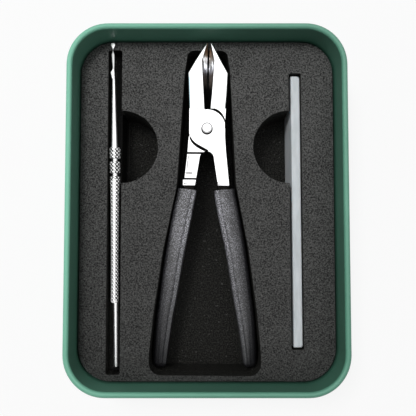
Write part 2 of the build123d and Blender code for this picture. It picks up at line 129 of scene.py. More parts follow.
# Crescents of the lap groove above and below the pivot: start across, length and widest opening
CRESCENT_ABOVE = (1.0, 6.6, 0.50)
CRESCENT_BELOW = (-7.4, 9.4, 0.72)
CRESCENT_CUTS = 12
RIVET_RADIUS = 2.10
# Ring of painted shade round the rivet: its width, and how much wider it is on the lower side
SHADE_RING = 0.34
SHADE_RING_LEAN = 0.14
ARM_STEP = -10.2
ARM_STEP_RUN = 0.8
ARM_FOOT = -24.4
COLLAR_GROOVE = -21.6
COLLAR_GROOVE_HALF = 0.37

# Painted dark lines of shade on the nipper: across from, to and blur, along from, to and blur, and how dark they
# are.
# The first are the scribed line on the left arm and the fold at the left jaw's root, on top only.
TOP_SHADE_MARKS = [
    ((-8.9, -6.0, 0.3), (-19.42, -18.82, 0.08), 0.9),
    ((-6.4, -3.2, 0.5), (JAW_ROOT - 0.18, JAW_ROOT + 0.18, 0.08), 0.8),
]
# The others are short lines of painted shade at the corners of the left and the right arm's ends
ARM_SHADE_MARKS = [
    ((-9.75, -9.45, 0.05), (-23.7, -22.6, 0.1), 0.8), ((-9.75, -8.3, 0.1), (-23.95, -23.6, 0.05), 0.8),
    ((4.75, 5.05, 0.05), (-23.9, -22.8, 0.1), 0.6), ((4.75, 6.2, 0.1), (-24.15, -23.8, 0.05), 0.6),
]

# Painted pale blue reflection on the left jaw and on its ground facet, and the painted dark line down the left
# arm's chamfer
REFLECTION_PLACE = (-4.4, 17.0)
REFLECTION_REACH = (2.2, 7.5)
FACET_ACROSS = (-8.2, -7.1)
FACET_ALONG = (9.0, 22.5)
CHAMFER_PLACE = 6.55
CHAMFER_LEAN = 0.107
CHAMFER_HALF = 0.16
CHAMFER_ALONG = (-18.0, -11.6)

# Top edge of the hollow grind: half width at the root and its growth, then where it narrows to the tip
GRIND_ROOT = 1.35
GRIND_GROWTH = 0.066
GRIND_WIDEST = 2.7
GRIND_TURN = 28.8
GRIND_NARROWING = 0.277

# Jaw's sections: place, outer half width, top edge of the hollow grind, its depth, sideways shift
JAW_STATIONS = [
    (JAW_ROOT, 7.7, GRIND_ROOT, 0.0, -0.1), (14.4, 8.1, 1.8, 0.15, 0.0), (23.4, 8.5, 2.36, 0.35, 0.0),
    (GRIND_TURN, 5.44, GRIND_WIDEST, 0.45, 0.0), (JAW_TIP, 1.25, 0.65, 0.1, 0.4),
]

# Grips: place down the tool, inner and outer half width of the left grip, inner of the right grip
GRIP_STATIONS = [
    (-25.5, 4.25, 12.3, 3.4), (-33.4, 5.6, 14.0, 4.6), (-46.0, 7.75, 16.4, 7.1),
    (-56.0, 9.7, 18.1, 9.3), (-66.0, 11.3, 19.6, 11.0), (-84.0, 14.3, 21.9, 14.3),
    (-104.0, 16.6, 22.9, 16.9),
]
GRIP_HALF_HEIGHT = 6.15
GRIP_INNER_ROUND = 1.1
GRIP_OUTER_ROUND = 2.6
GRIP_CROWN = 1.2
GRIP_END_ROUND = 3.0
GRIP_TOP_ROUND = 0.35
GRIP_TOP_SLANT = 0.12
GRIP_SLANT_REACH = 20.0
GRIP_RIB = 2.1
GRIP_GROOVE_WIDTH = 0.28
GRIP_GROOVE_DEPTH = 0.26
GRIP_UNDER_ROUND = 2.0
GRIP_RINGS = 150
GRIP_END_CROWDING = 0.9
# Painted light on the grips: where the grain's painted fall-off down the tool starts and its reach, painted shade
# in the rib's groove and its breaks, painted sheen on the back, and where the painted fade at each foot starts
GRIP_FALLOFF_FROM = -112.0
GRIP_FALLOFF_REACH = 80.0
GRIP_GROOVE_SHADE = 0.8
GRIP_SHADE_BREAKS = (310.0, 97.0)
GRIP_BACK_SHINE = 0.72
GRIP_FADE_RIGHT = 0.32
GRIP_FADE_LEFT = 0.64

# Knurl of the lifter's handle
KNURL_STARTS = 7
KNURL_PITCH = 1.62
KNURL_HEIGHT = 0.76
KNURL_CREST = 1.7
KNURL_END = 0.5
KNURL_RINGS = 560
KNURL_SEGMENTS = 120
WAIST_PLACES = (5.3, 11.6)
WAIST_HALF = 0.42
WAIST_RADIUS = 1.25
WAIST_SHOULDER = 0.35
# How far across the handle's top the cuts fade out: a wide plain band, and a narrow one by the waists
PLAIN_BAND = 0.28
WAIST_BAND = 0.06
BAND_FADE = 0.32
LEAST_CUT = 0.30
CUT_LEVEL = 0.72


# =====================================================================================================
# Shader maths
# =====================================================================================================
class Value:
    """A number that varies over a surface, with the operators that add its Math nodes."""

    def __init__(self, shader, socket):
        self.shader = shader
        self.socket = socket

    def math(self, operation, *others, clamp=False):
        operands = {0: self, **{place + 1: other for place, other in enumerate(others)}}
        settings = {"operation": operation, "use_clamp": clamp}
        return Value(self.shader, self.shader.node("ShaderNodeMath", settings, operands, 0))

    def __add__(self, other):
        return self.math("ADD", other)

    __radd__ = __add__

    def __mul__(self, other):
        return self.math("MULTIPLY", other)

    def __sub__(self, other):
        return self.math("SUBTRACT", other)

    def __rsub__(self, other):
        return (self * -1.0).math("ADD", other)

    def __truediv__(self, other):
        return self.math("DIVIDE", other)

    def __pow__(self, other):
        return self.math("POWER", other)

    def clamped(self):
        return self.math("ADD", 0.0, clamp=True)

    def above(self, level, softness):
        """Rises from 0 to 1 as the value passes level, over twice the softness."""
        return ((self - level) / (2.0 * softness) + 0.5).clamped()

    def within(self, low, high, softness):
        """1 between two levels and 0 outside them."""
        return self.above(low, softness) * (1.0 - self.above(high, softness))

    def most(self, other):
        return self.math("MAXIMUM", other)

    def least(self, other):
        return self.math("MINIMUM", other)


class Shader:
    """A material and the nodes that make it."""

    def __init__(self, name):
        self.material = bpy.data.materials.new(name)
        self.material.use_nodes = True
        self.tree = self.material.node_tree
        self.surface = self.tree.nodes["Principled BSDF"]

    def node(self, kind, settings=None, inputs=None, output=None):
        """Adds a node with its settings and its sockets' values or links, and returns an output."""
        made = self.tree.nodes.new(kind)
        for name, setting in (settings or {}).items():
            if name == "stops":
                self.set_stops(made.color_ramp, setting)
            else:
                setattr(made, name, setting)
        for name, given in (inputs or {}).items():
            self.feed(made.inputs[name], given)
        return made if output is None else made.outputs[output]

    def set_stops(self, ramp, stops):
        while len(ramp.elements) < len(stops):
            ramp.elements.new(0.5)
        for element, (place, colour) in zip(ramp.elements, stops):
            element.position = place
            element.color = (*colour, 1.0)

    def feed(self, socket, given):
        if isinstance(given, Value):
            given = given.socket
        if isinstance(given, bpy.types.NodeSocket):
            self.tree.links.new(given, socket)
        elif isinstance(given, (tuple, list)) and len(given) == 3 and len(socket.default_value) == 4:
            socket.default_value = (*given, 1.0)
        else:
            socket.default_value = given

    def principled(self, **inputs):
        for name, given in inputs.items():
            self.feed(self.surface.inputs[name.replace("_", " ").title()], given)

    def set_plain(self, **inputs):
        """Sets sockets that are the same all over the surface, by their own names."""
        for name, given in inputs.items():
            self.surface.inputs[name.replace("_", " ")].default_value = given

    def place(self, scale=(1.0, 1.0, 1.0), shift=(0.0, 0.0, 0.0)):
        """Object coordinates in metres, scaled and shifted."""
        origin = self.node("ShaderNodeTexCoord", output="Object")
        inputs = {"Vector": origin, "Location": shift, "Scale": scale}
        return self.node("ShaderNodeMapping", {"vector_type": "POINT"}, inputs, "Vector")

    def noise(self, vector, scale, detail=2.0, roughness=0.5):
        inputs = {"Vector": vector, "Scale": scale, "Detail": detail, "Roughness": roughness}
        return Value(self, self.node("ShaderNodeTexNoise", None, inputs, "Fac"))

    def part_of(self, vector, axis):
        parts = self.node("ShaderNodeSeparateXYZ", None, {"Vector": vector})
        return Value(self, parts.outputs[axis])

    def reach(self, vector, direction, origin):
        """Millimetres from the origin along a direction."""
        inputs = {0: vector, 1: tuple(direction)}
        dot = self.node("ShaderNodeVectorMath", {"operation": "DOT_PRODUCT"}, inputs, "Value")
        return (Value(self, dot) - direction.dot(origin)) / MM

    def ramp(self, value, stops):
        inputs = {"Fac": value}
        return self.node("ShaderNodeValToRGB", {"stops": stops}, inputs, "Color")

    def attribute(self, name):
        return Value(self, self.node("ShaderNodeAttribute", {"attribute_name": name}, None, "Fac"))

    def mix(self, factor, low, high):
        """Mixes two colours by a factor."""
        made = self.node("ShaderNodeMix", {"data_type": "RGBA"})
        self.feed(made.inputs[0], factor)
        self.feed(made.inputs[6], low)
        self.feed(made.inputs[7], high)
        return made.outputs[2]

    def bump(self, height, depth, strength=1.0):
        """Normal with the height, whose range of 1 stands `depth` metres proud."""
        inputs = {"Height": height, "Distance": depth, "Strength": strength}
        return self.node("ShaderNodeBump", None, inputs, "Normal")


def linear(red, green, blue):
    """Scene colour of a screen colour from 0 to 255."""
    def one(level):
        level = level / 255.0
        return level / 12.92 if level <= 0.04045 else ((level + 0.055) / 1.055) ** 2.4
    return (one(red), one(green), one(blue))


# =====================================================================================================
# Frame of the nipper
# =====================================================================================================
nipper_joint = next(joint for joint in frame["joints"] if joint["name"] == "nipper_upper_hinge")
NIPPER_ORIGIN = Vector(nipper_joint["pos_m"])
NIPPER_UP = Vector(nipper_joint["axis"]).normalized()
NIPPER_ACROSS = Vector((-NIPPER_UP.y, NIPPER_UP.x, 0.0)).normalized()
NIPPER_ALONG = NIPPER_UP.cross(NIPPER_ACROSS)


def on_nipper(across, along, up):
    """Point from millimetres in the nipper's own frame, with its pivot at the origin."""
    return NIPPER_ORIGIN + (NIPPER_ACROSS * across + NIPPER_ALONG * along + NIPPER_UP * up) * MM


def in_nipper(point):
    """Millimetres across, along and up from the nipper's pivot."""
    away = (point - NIPPER_ORIGIN) / MM
    return away.dot(NIPPER_ACROSS), away.dot(NIPPER_ALONG), away.dot(NIPPER_UP)


# =====================================================================================================
# Finishes
# =====================================================================================================
def corner_reach(shader, place):
    """Distance from the rounded rectangle that joins the centres of the tin's corners."""
    parts = []
    for axis, reach in (("X", TIN_BOX[1].x), ("Y", TIN_BOX[1].y)):
        away = shader.part_of(place, axis).math("ABSOLUTE") - (reach - TIN_CORNER)
        parts.append(away.most(0.0) ** 2.0)
    return (parts[0] + parts[1]) ** 0.5


def green_enamel():
    """Satin green enamel on thin steel, with faint orange peel and rubs, painted light that makes it lighter on
    the left and darker at the short ends, and painted shade down its inside.
    """
    shader = Shader("green_enamel")
    place = shader.place()
    drift = shader.noise(place, 45.0, 3.0)
    peel = shader.noise(place, 2600.0, 2.0)
    rubs = shader.noise(shader.place(scale=(1.0, 1.0, 3.0)), 300.0, 6.0, 0.7).above(0.74, 0.04)
    height = shader.part_of(place, "Z")
    across = shader.part_of(place, "X")
    along = shader.part_of(place, "Y")
    # Painted light: lighter on the left, and darker at both short ends, most at the lower one
    painted_light = drift * 0.3 + 0.50 - across * 7.5 + along * 2.0 - along.math("ABSOLUTE") * 5.5
    coat = shader.mix(painted_light, linear(90, 150, 127), linear(133, 208, 179))
    inner_reach = TIN_CORNER - BEAD_WIDTH + TIN_SHEET / 2
    inside = 1.0 - corner_reach(shader, place).above(inner_reach, 0.04 * MM)
    # Painted shade inside, from the bead down and more so at the foam
    foot = 1.0 - height.above(FOAM_SURFACE + 0.6 * MM, 0.6 * MM)
    wall = 1.0 - height.above(TIN_BOX[1].z - BEAD_DROP, 0.12 * MM)
    shaded_coat = shader.mix((foot * 0.20 + wall * 0.46).least(0.85) * inside, coat, linear(22, 40, 33))
    colour = shader.mix(rubs * 0.30, shaded_coat, linear(150, 190, 170))
    shader.principled(
        base_color=colour, roughness=0.38 + drift * 0.10 + rubs * 0.15,
        normal=shader.bump(peel, 0.004 * MM),
    )
    shader.set_plain(Specular_IOR_Level=0.5, Coat_Weight=0.3, Coat_Roughness=0.20)
    return shader.material


def eva_foam():
    """Dark grey closed-cell foam: a speckled grey skin on top with painted light and shade, and darker where it is
    cut, partly its own colour and partly painted shade.
    """
    shader = Shader("eva_foam")
    place = shader.place()
    mottle = shader.noise(place, 90.0, 3.0)
    grain = shader.noise(place, 1500.0, 2.0, 0.6)
    fine = shader.noise(place, 3000.0, 2.0, 0.6)
    speck = shader.noise(shader.place(shift=(0.3, 0.1, 0.2)), 1000.0, 2.0, 0.5).above(0.70, 0.02)
    contrast = (grain * 0.75 + fine * 0.15 + mottle * 0.10).above(0.5, 0.125)
    coarse = shader.noise(place, 1500.0, 3.0, 0.65).above(0.52, 0.10)
    across = shader.part_of(place, "X")
    along = shader.part_of(place, "Y")
    out_across = across.math("ABSOLUTE") / FOAM_HALF_WIDTH
    out_along = along.math("ABSOLUTE") / FOAM_HALF_LENGTH
    wall_shade = out_across.most(out_along).above(0.92, 0.12)
    # Skin: painted light makes it lighter towards the top right, and painted shade makes it darker beside the wall
    drift = along * 5.0 + across * 1.2 - wall_shade * 0.30
    lit = shader.mix(drift + 0.55, linear(74, 74, 73), linear(108, 108, 107))
    skin = shader.mix(contrast, linear(22, 22, 22), lit)
    # Cut faces: darker than the skin, partly their own colour and partly painted shade in the deep cuts
    cut = shader.mix(coarse, linear(6, 6, 6), linear(43, 43, 40))
    height = shader.part_of(place, "Z")
    # Cuts: a painted shadow makes the lifter's slot darkest, and painted light gives a lighter lip where the notch
    # opens into it
    slot_shadow = across.within(*LIFTER_SLOT, 0.1 * MM)
    notch_lip_light = across.within(LIFTER_SLOT[1], LIFTER_SLOT[1] + NOTCH_LIP, 0.1 * MM)
    notch_lip_light = notch_lip_light * along.within(*NOTCH_REACH, 1.0 * MM)
    cut = shader.mix(slot_shadow * 0.8, cut, (0.0, 0.0, 0.0))
    cut = shader.mix(notch_lip_light * 0.8, cut, linear(60, 60, 58))
    is_skin = height.above(FOAM_SURFACE - SKIN_DEPTH, 0.08 * MM)
    shade = shader.mix(is_skin, cut, skin)
    colour = shader.mix(speck * 0.3, shade, linear(130, 130, 128))
    shader.principled(
        base_color=colour, roughness=0.55 + fine * 0.2,
        normal=shader.bump(grain * 0.8 + fine * 0.3, 0.22 * MM, 0.8),
    )
    shader.set_plain(Specular_IOR_Level=0.12)
    return shader.material


def nipper_steel():
    """Bright ground steel, with painted shade in its joints, grooves and marks, and painted reflections and a
    glowing painted highlight where it is hollow ground.
    """
    shader = Shader("nipper_steel")
    place = shader.place()
    across = shader.reach(place, NIPPER_ACROSS, NIPPER_ORIGIN)
    along = shader.reach(place, NIPPER_ALONG, NIPPER_ORIGIN)
    level = shader.reach(place, NIPPER_UP, NIPPER_ORIGIN)
    grinding = shader.noise(shader.place(scale=(1.0, 0.06, 1.0)), 5200.0, 3.0, 0.6)
    smudge = shader.noise(place, 160.0, 3.0)
    plain = shader.mix(smudge, (0.76, 0.76, 0.77), (0.84, 0.84, 0.84))
    # Painted reflection: a pale blue patch on the left jaw and on its ground facet
    reflection_across = (across - REFLECTION_PLACE[0]) / REFLECTION_REACH[0]
    reflection_along = (along - REFLECTION_PLACE[1]) / REFLECTION_REACH[1]
    blue_reflection = (1.0 - (reflection_across ** 2.0 + reflection_along ** 2.0) ** 0.5).above(0.40, 0.40)
    facet = across.within(*FACET_ACROSS, 0.15) * along.within(*FACET_ALONG, 1.5)
    bright = shader.mix((blue_reflection * smudge * 1.5).most(facet * 0.9), plain, (0.40, 0.52, 0.58))

    # Painted shade in the lap joint, round the rivet, in the collar's groove, on the step, on the tang and in the
    # marks; the painted dark line of the chamfer joins it
    inside = across.within(-LAP_HALF_WIDTH, LAP_HALF_WIDTH, 0.05)
    inside = inside * along.within(LAP_FOOT, JAW_ROOT + 0.2, 0.05)
    lap = inside * level.within(-HEAD_TOP + 0.4, HEAD_TOP - 0.35, 0.1)
    radius = (across * across + along * along) ** 0.5
    ring_end = (radius + along * SHADE_RING_LEAN).above(RIVET_RADIUS + SHADE_RING, 0.05)
    ring = radius.above(RIVET_RADIUS - 0.04, 0.05) * (1.0 - ring_end)
    on_left = 1.0 - across.above(-1.0, 0.1)
    on_top = level.above(0.0, 0.1)
    step = along.within(ARM_STEP - ARM_STEP_RUN, ARM_STEP, 0.04) * on_left * on_top
    groove = along.within(COLLAR_GROOVE - COLLAR_GROOVE_HALF, COLLAR_GROOVE + COLLAR_GROOVE_HALF, 0.03)
    groove = groove * on_left * on_top
    tang = 1.0 - along.above(ARM_FOOT - 0.02, 0.02)
    # Painted shade: a dark line down the left arm's chamfer
    chamfer_shade_line = (across + CHAMFER_PLACE - along * CHAMFER_LEAN).within(-CHAMFER_HALF, CHAMFER_HALF, 0.06)
    chamfer_shade_line = chamfer_shade_line * along.within(*CHAMFER_ALONG, 0.5) * on_top * 0.85
    painted_shade = lap
    for part in (ring, step, groove, tang, chamfer_shade_line):
        painted_shade = painted_shade.most(part)
    for marks, face in ((TOP_SHADE_MARKS, on_top), (ARM_SHADE_MARKS, 1.0)):
        for mark_across, mark_along, darkness in marks:
            painted_shade = painted_shade.most(across.within(*mark_across) * along.within(*mark_along) * face * darkness)
    shaded_steel = shader.mix(painted_shade, bright, (0.012, 0.011, 0.010))

    # Hollow grind, painted with its reflections: dark at the root, brown and pale blue further on, a painted white
    # highlight across its belly, darker streaks and a painted dark line along its top edge
    belly = GRIND_ROOT + (along - JAW_ROOT) * GRIND_GROWTH
    edge = belly.least(GRIND_WIDEST - (along - GRIND_TURN) * GRIND_NARROWING)
    off_axis = (across - JAW_AXIS).math("ABSOLUTE")
    ground = (edge - off_axis).above(0.02, 0.06) * along.above(JAW_ROOT, 0.05)
    streak = shader.noise(shader.place(scale=(1.0, 0.14, 0.14)), 1500.0, 2.0, 0.6)
    share = (along + (streak - 0.5) * 5.0 - JAW_ROOT) / (JAW_TIP - JAW_ROOT)
    grind_reflection = shader.ramp(share, [
        (0.0, (0.004, 0.004, 0.004)), (0.32, (0.008, 0.008, 0.008)), (0.42, (0.18, 0.15, 0.13)),
        (0.54, (0.20, 0.17, 0.16)), (0.62, (0.62, 0.60, 0.66)), (0.72, (1.0, 1.0, 1.0)),
        (0.80, (0.60, 0.50, 0.42)), (0.88, (0.32, 0.20, 0.12)), (1.0, (0.22, 0.14, 0.09)),
    ])
    rim = 1.0 - (edge - off_axis).above(0.28, 0.08)
    banded = shader.mix((streak.above(0.54, 0.06) * 0.7).most(rim * 0.75), grind_reflection, (0.02, 0.02, 0.015))
    shader.principled(
        base_color=shader.mix(ground, shaded_steel, banded),
        roughness=0.13 + smudge * 0.08 + painted_shade * 0.35 + ground * 0.15,
        normal=shader.bump(grinding, 0.0012 * MM),
    )
    # Painted highlight: a few streaks across the belly glow a little, though nothing lights them
    glint = ground * share.within(0.60, 0.79, 0.03) * streak.within(0.38, 0.50, 0.03) * (1.0 - rim)
    shader.principled(
        metallic=1.0 - ground * 0.85,
        emission_color=shader.mix(glint, (0.0, 0.0, 0.0), (0.9, 0.95, 1.0)),
    )
    shader.set_plain(Emission_Strength=1.0)
    return shader.material


def lifter_steel():
    """Bright turned steel with fine rings from the lathe, with painted shade in the cuts of the knurl, at the
    blade's neck and along the blade.
    """
    shader = Shader("lifter_steel")
    rings = shader.noise(shader.place(scale=(0.05, 1.0, 0.05)), 5200.0, 2.0)
    smudge = shader.noise(shader.place(), 220.0, 3.0)
    bright = shader.mix(smudge, (0.86, 0.86, 0.86), (0.95, 0.95, 0.95))
    # Painted shade, carried by the "cut" attribute
    cut = shader.attribute("cut")
    shader.principled(
        base_color=shader.mix(cut, bright, (0.015, 0.015, 0.015)),
        roughness=0.33 + smudge * 0.10 + cut * 0.2, normal=shader.bump(rings, 0.001 * MM),
    )
    shader.set_plain(Metallic=1.0)
    return shader.material


def grip_plastic():
    """Black grip with a pebbled grain that catches the light, its colour carrying painted sheen and shade:
    brighter along the rib, darker in the groove, towards the outer side and towards the foot.
    """
    shader = Shader("grip_plastic")
    place = shader.place()
    pebble = shader.noise(place, 2100.0, 2.0, 0.6)
    drift = shader.noise(place, 120.0, 2.0)
    along = shader.reach(place, NIPPER_ALONG, NIPPER_ORIGIN)
    # Painted fall-off: the grain darkens towards the foot
    painted_falloff = ((along - GRIP_FALLOFF_FROM) / GRIP_FALLOFF_REACH).clamped()
    shine = shader.attribute("shine")
    grain = (pebble * 0.85 + drift * 0.15 + shine * 0.02).above(0.55, 0.06)
    shade = shader.mix(grain * painted_falloff * shine, linear(24, 24, 26), linear(184, 184, 193))
    shader.principled(
        base_color=shade, roughness=0.46 - grain * 0.14,
        coat_weight=(shine * 1.7).clamped(),
        normal=shader.bump(pebble, 0.30 * MM, 0.9),
    )
    shader.set_plain(IOR=1.25, Coat_IOR=1.65, Coat_Roughness=0.38)
    return shader.material


def frosted_glass():
    """Etched glass: pale, faintly blue and a little cloudy."""
    shader = Shader("frosted_glass")
    place = shader.place()
    cloud = shader.noise(shader.place(scale=(1.0, 0.20, 1.0)), 300.0, 4.0, 0.6)
    etch = shader.noise(place, 5200.0, 2.0)
    colour = shader.mix(cloud.above(0.5, 0.2), linear(199, 206, 209), linear(227, 232, 236))
    shader.principled(
        base_color=colour, roughness=0.42 + etch * 0.12, normal=shader.bump(etch, 0.006 * MM),
    )
    shader.set_plain(
        Subsurface_Weight=0.35, Subsurface_Scale=1.0,
        Subsurface_Radius=(1.2 * MM, 1.4 * MM, 1.5 * MM),
    )
    return shader.material


FINISHES = {
    "green_tin": green_enamel(),
    "foam": eva_foam(),
    "nipper_steel": nipper_steel(),
    "lifter_steel": lifter_steel(),
    "grip": grip_plastic(),
    "frosted_glass": frosted_glass(),
}
for subpart in frame["record"]["subparts"]:
    slots = frame["nodes"][subpart["node"]].data.materials
    slots.clear()
    slots.append(FINISHES[subpart["material_slot"]])


# =====================================================================================================
# Making pieces
# =====================================================================================================
def between(value, stations, column):
    """Smooth value of a column at a place among stations, whose places fall or rise in order."""
    places = [station[0] for station in stations]
    step = 1 if places[0] < places[-1] else -1
    last = len(stations) - 1
    index = 0
    while index < last - 1 and step * value > step * places[index + 1]:
        index += 1
    share = min(max((value - places[index]) / (places[index + 1] - places[index]), 0.0), 1.0)
    before = stations[max(index - 1, 0)][column]
    low = stations[index][column]
    high = stations[index + 1][column]
    after = stations[min(index + 2, last)][column]
    bend = (2 * before - 5 * low + 4 * high - after) + (3 * low - before - 3 * high + after) * share
    return low + 0.5 * share * (high - before + share * bend)


def turned_blank(segments, rings):
    """Closed unit cylinder along Z from 0 to 1, cut into rings."""
    bm = bmesh.new()
    bmesh.ops.create_cone(
        bm, cap_ends=True, cap_tris=False, segments=segments, radius1=1.0, radius2=1.0, depth=1.0,
    )
    bmesh.ops.translate(bm, verts=bm.verts, vec=(0.0, 0.0, 0.5))
    upright = [edge for edge in bm.edges if abs(edge.verts[0].co.z - edge.verts[1].co.z) > 0.5]
    bmesh.ops.subdivide_edges(bm, edges=upright, cuts=rings - 1, use_grid_fill=True)
    return bm


def shape(bm, place):
    """Moves each vertex of a blank by its share along it and its angle round it."""
    for vertex in bm.verts:
        vertex.co = place(vertex.co.z, math.atan2(vertex.co.y, vertex.co.x))
    bmesh.ops.recalc_face_normals(bm, faces=bm.faces)
    return bm


def cad_copy(node):
    """Clean copy of a node's mesh, with its flat faces whole."""
    bm = bmesh.new()
    bm.from_mesh(frame["nodes"][node].data)
    bmesh.ops.remove_doubles(bm, verts=bm.verts, dist=MERGE_DISTANCE)
    bmesh.ops.dissolve_limit(bm, angle_limit=math.radians(FLAT_ANGLE), verts=bm.verts, edges=bm.edges)
    return bm


def finish_piece(bm, name, body, finish, nodes, sharp_angle):
    """Makes a piece of a mesh, gives it its finish and its body, and lets it stand for its nodes."""
    mesh = bpy.data.meshes.new(name)
    bm.to_mesh(mesh)
    bm.free()
    mesh.shade_smooth()
    mesh.set_sharp_from_angle(angle=math.radians(sharp_angle))
    mesh.materials.append(FINISHES[finish])
    piece = bpy.data.objects.new(name, mesh)
    bpy.context.scene.collection.objects.link(piece)
    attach(piece, body)
    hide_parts(*nodes)
    return piece


def soften_edges(piece, width, segments):
    """Rounds a piece's edges and keeps its flat faces flat."""
    bevel = piece.modifiers.new("edges", "BEVEL")
    bevel.width = width
    bevel.segments = segments
    bevel.limit_method = "ANGLE"
    bevel.angle_limit = math.radians(BEVEL_ANGLE)
    bevel.use_clamp_overlap = False
    bevel.miter_outer = "MITER_ARC"
    weigh = piece.modifiers.new("flats", "WEIGHTED_NORMAL")
    weigh.keep_sharp = False
    weigh.weight = 80


# =====================================================================================================
# Foam nest and glass file
# =====================================================================================================
def foam_top():
    """Top sheet of the nest, its cuts with softly rounded edges."""
    node = "foam_top_layer"
    piece = finish_piece(cad_copy(node), "foam_sheet", "foam", "foam", [node], ALL_SMOOTH)
    soften_edges(piece, FOAM_EDGE, 2)


def etched_file():
    """Glass file, its two ends rounded on the side that faces away from the nipper."""
    bm = cad_copy("glass_file")
    middle = sum((vertex.co for vertex in bm.verts), Vector()) / len(bm.verts)
    upright = [
        edge for edge in bm.edges
        if abs(edge.verts[0].co.z - edge.verts[1].co.z) > 5.0 * MM and edge.verts[0].co.x > middle.x
    ]
    bmesh.ops.bevel(
        bm, geom=upright, offset=GLASS_END_ROUND, segments=5, profile=0.5, affect="EDGES", material=-1,
    )
    piece = finish_piece(bm, "etched_file", "file", "frosted_glass", ["glass_file"], ALL_SMOOTH)
    soften_edges(piece, GLASS_EDGE, 3)


foam_top()
etched_file()


# =====================================================================================================
# Toenail nipper
# =====================================================================================================
def line_between(value, stations, column):
    """Straight-line value of a column at a place among stations in rising order."""
    value = max(value, stations[0][0])
    for low, high in zip(stations, stations[1:]):
        if value <= high[0]:
            share = (value - low[0]) / (high[0] - low[0])
            return low[column] + (high[column] - low[column]) * share
    return stations[-1][column]


def corner_of(angle, count):
    """Number of a blank's corner from its angle."""
    return int((angle % (2.0 * math.pi)) / (2.0 * math.pi) * count + 0.25) % count


def jaw_section(side, along):
    """Corners of a jaw's section, with its hollow grind as a shallow curve."""
    outer, grind, hollow, shift = (line_between(along, JAW_STATIONS, column) for column in (1, 2, 3, 4))
    blade = max(BLADE_HALF, BLADE_ROOT_HALF - (along - JAW_ROOT) * BLADE_TAPER)
    top = HEAD_TOP - (along - JAW_ROOT) * JAW_TOP_FALL
    under = -HEAD_TOP + (along - JAW_ROOT) * JAW_UNDER_RISE
    corners = [
        (outer - JAW_CHAMFER, under), (outer, under + JAW_CHAMFER), (outer, top - JAW_CHAMFER),
        (outer - JAW_CHAMFER, top), (grind, top),
    ]
    for step in range(1, GRIND_POINTS):
        share = step / GRIND_POINTS
        width = grind + (blade - grind) * share + hollow * 4.0 * share * (1.0 - share)
        corners.append((width, top + (under + BLADE_LAND - top) * share))
    corners += [(blade, under + BLADE_LAND), (blade, under)]
    return [(JAW_AXIS + shift + side * width, level) for width, level in corners]


def jaw(side):
    """Jaw from its root to its tip, as a blank with one corner for each point of the section."""
    count = len(jaw_section(side, JAW_ROOT))
    start = JAW_ROOT - JAW_OVERLAP

    def place(share, angle):
        along = start + (JAW_TIP - start) * share
        across, level = jaw_section(side, along)[corner_of(angle, count)]
        return on_nipper(across, along, level)

    return shape(turned_blank(count, JAW_RINGS), place)


def plate_distance(across, along):
    """Distance from the upper lap plate's outline and the unit direction away from it."""
    lean = Vector(TONGUE_PLACE)
    reach = lean.length
    turn = math.acos((PLATE_RADIUS - TONGUE_RADIUS) / reach)
    heading = math.atan2(lean.y, lean.x)
    angle = math.atan2(along, across)
    offset = (angle - heading + math.pi) % (2.0 * math.pi) - math.pi
    radial = math.hypot(across, along)
    best = (radial - PLATE_RADIUS, Vector((across, along)) / max(radial, 0.001))
    for sign in (-1, 1):
        normal = Vector((math.cos(heading + sign * turn), math.sin(heading + sign * turn)))
        place = Vector((across, along)).dot(Vector((-normal.y, normal.x))) * -sign
        if offset * sign > 0.0 and 0.0 < place < reach * math.sin(turn):
            best = (Vector((across, along)).dot(normal) - PLATE_RADIUS, normal)
    return best


def widen_lap_groove(bm):
    """Opens the groove round the upper lap plate into the crescents that grinding leaves."""
    def on_wall(vertex):
        across, along, level = in_nipper(vertex.co)
        distance = plate_distance(across, along)[0]
        return level > -0.2 and abs(distance - GROOVE_WIDTH) < 0.04

    wall = {vertex for vertex in bm.verts if on_wall(vertex)}
    long_edges = [
        edge for edge in bm.edges
        if edge.verts[0] in wall and edge.verts[1] in wall and edge.calc_length() > 1.0 * MM
        and abs((edge.verts[0].co - edge.verts[1].co).dot(NIPPER_UP)) < 0.1 * MM
    ]
    bmesh.ops.subdivide_edges(bm, edges=long_edges, cuts=CRESCENT_CUTS, use_grid_fill=True)
    for vertex in bm.verts:
        if not on_wall(vertex):
            continue
        across, along, _ = in_nipper(vertex.co)
        away = plate_distance(across, along)[1]
        start, length, widest = CRESCENT_BELOW if along < 0.0 else CRESCENT_ABOVE
        share = min(max((across - start) / length, 0.0), 1.0)
        opening = widest * math.sin(math.pi * share) ** 0.7
        vertex.co += (NIPPER_ACROSS * away.x + NIPPER_ALONG * away.y) * opening * MM


def lever(node, name, body, side):
    """Lever with its own body and a jaw whose grind is hollow."""
    bm = cad_copy(node)
    if side < 0:
        widen_lap_groove(bm)
    geometry = list(bm.verts) + list(bm.edges) + list(bm.faces)
    bmesh.ops.bisect_plane(
        bm, geom=geometry, dist=MERGE_DISTANCE, plane_co=on_nipper(0.0, JAW_ROOT, 0.0),
        plane_no=NIPPER_ALONG, clear_outer=True,
    )
    rim = [edge for edge in bm.edges if edge.is_boundary]
    bmesh.ops.holes_fill(bm, edges=rim)
    jaw_bm = jaw(-side)
    jaw_mesh = bpy.data.meshes.new("jaw")
    jaw_bm.to_mesh(jaw_mesh)
    jaw_bm.free()
    bm.from_mesh(jaw_mesh)
    bpy.data.meshes.remove(jaw_mesh)
    piece = finish_piece(bm, name, body, "nipper_steel", [node], ALL_SMOOTH)
    soften_edges(piece, STEEL_EDGE, 2)


